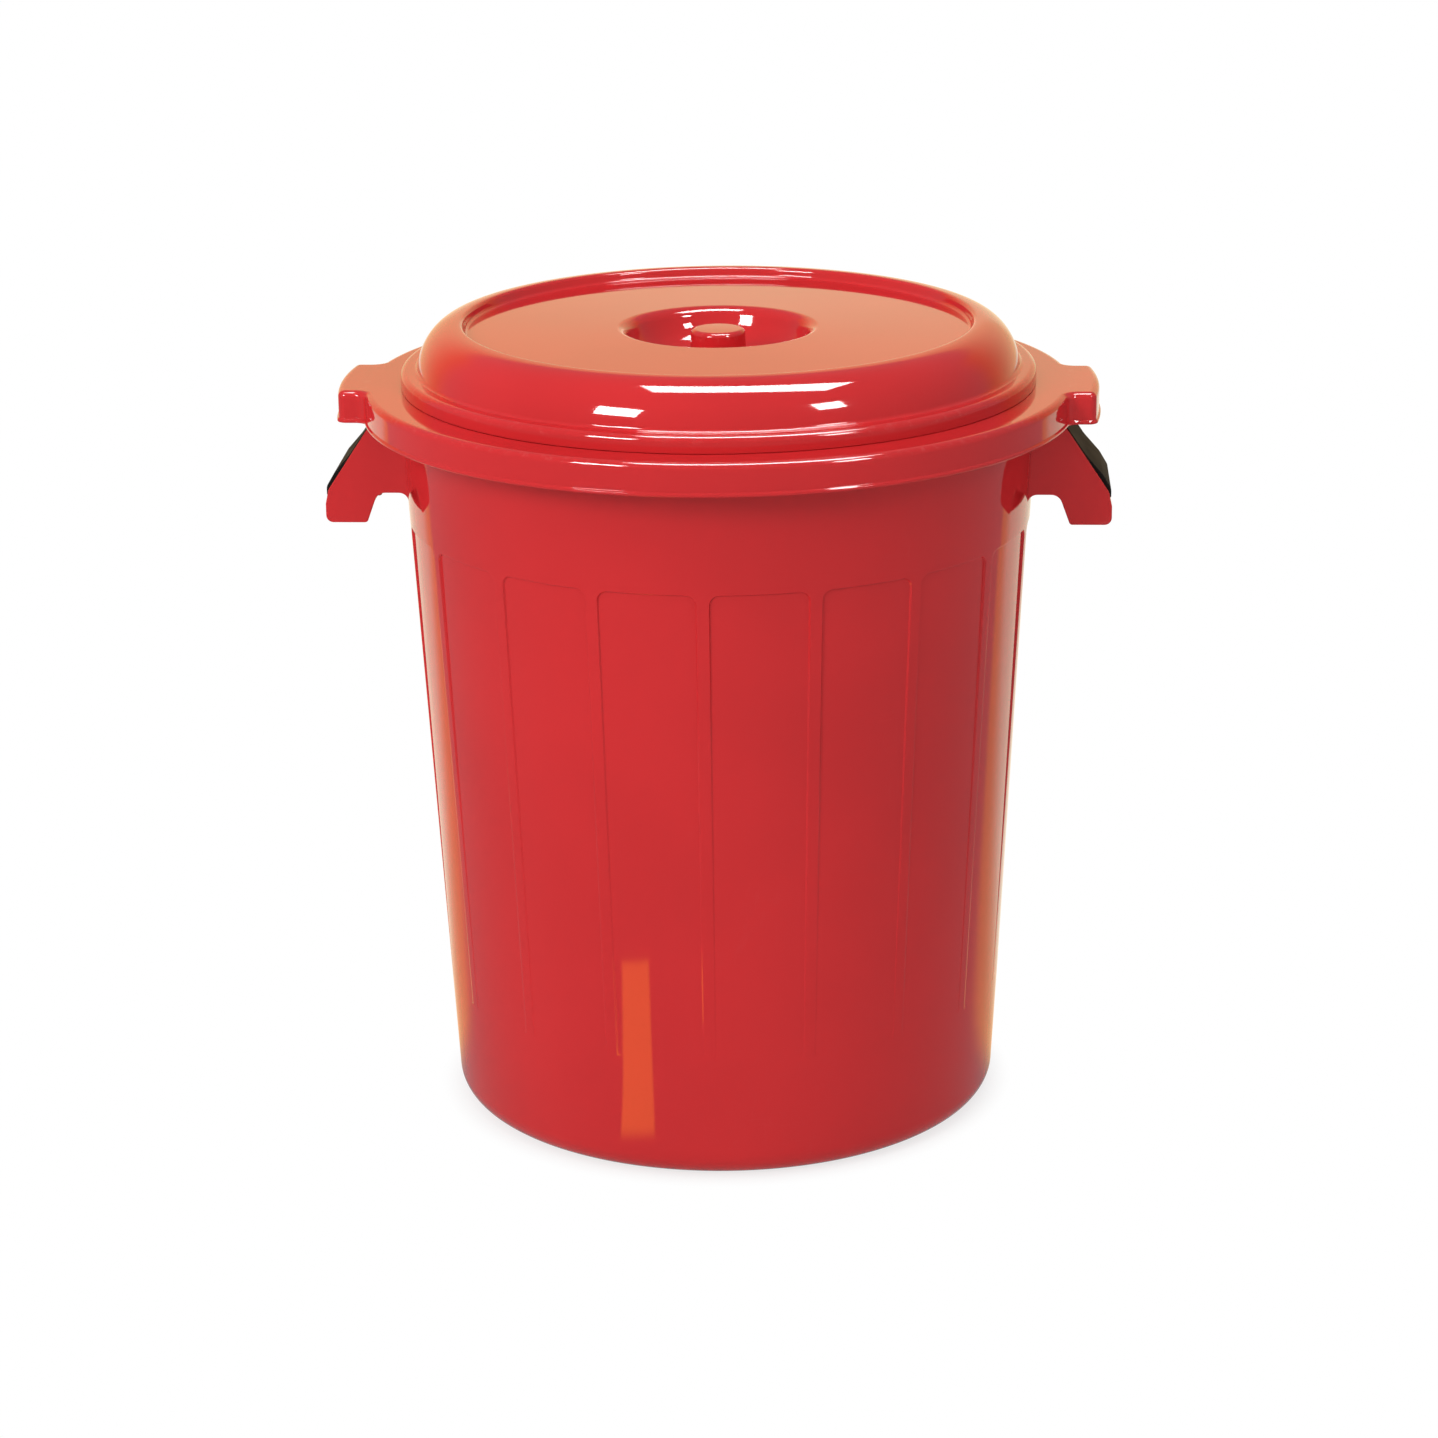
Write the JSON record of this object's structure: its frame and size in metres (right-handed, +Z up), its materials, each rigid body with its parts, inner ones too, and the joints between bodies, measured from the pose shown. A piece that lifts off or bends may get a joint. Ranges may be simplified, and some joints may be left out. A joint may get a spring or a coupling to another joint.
{
  "type": "plastic waste bin with lid",
  "caption": "Round tapered plastic bin with a raised ring lid and a centre knob, shallow side panels, a wide rim and a handle with a black grip on each side.",
  "frame": {"origin": "centre of the foot ring on the floor", "axes": "+Z up along the bin's axis, +X towards the right handle, -Y towards the picture's camera"},
  "size_m": [0.493, 0.446, 0.5086],
  "materials": {
    "red_plastic": "glossy injection-moulded polypropylene",
    "black_plastic": "satin moulded plastic"
  },
  "bodies": {
    "tub_body": {"tub": "red_plastic", "right_grip": "black_plastic", "left_grip": "black_plastic"},
    "lid_body": {"lid": "red_plastic"}
  },
  "joints": [
    {"name": "lid_lift", "type": "slide", "parent": "tub_body", "child": "lid_body", "axis": [0, 0, 1], "range_m": [0, 0.12]}
  ]
}
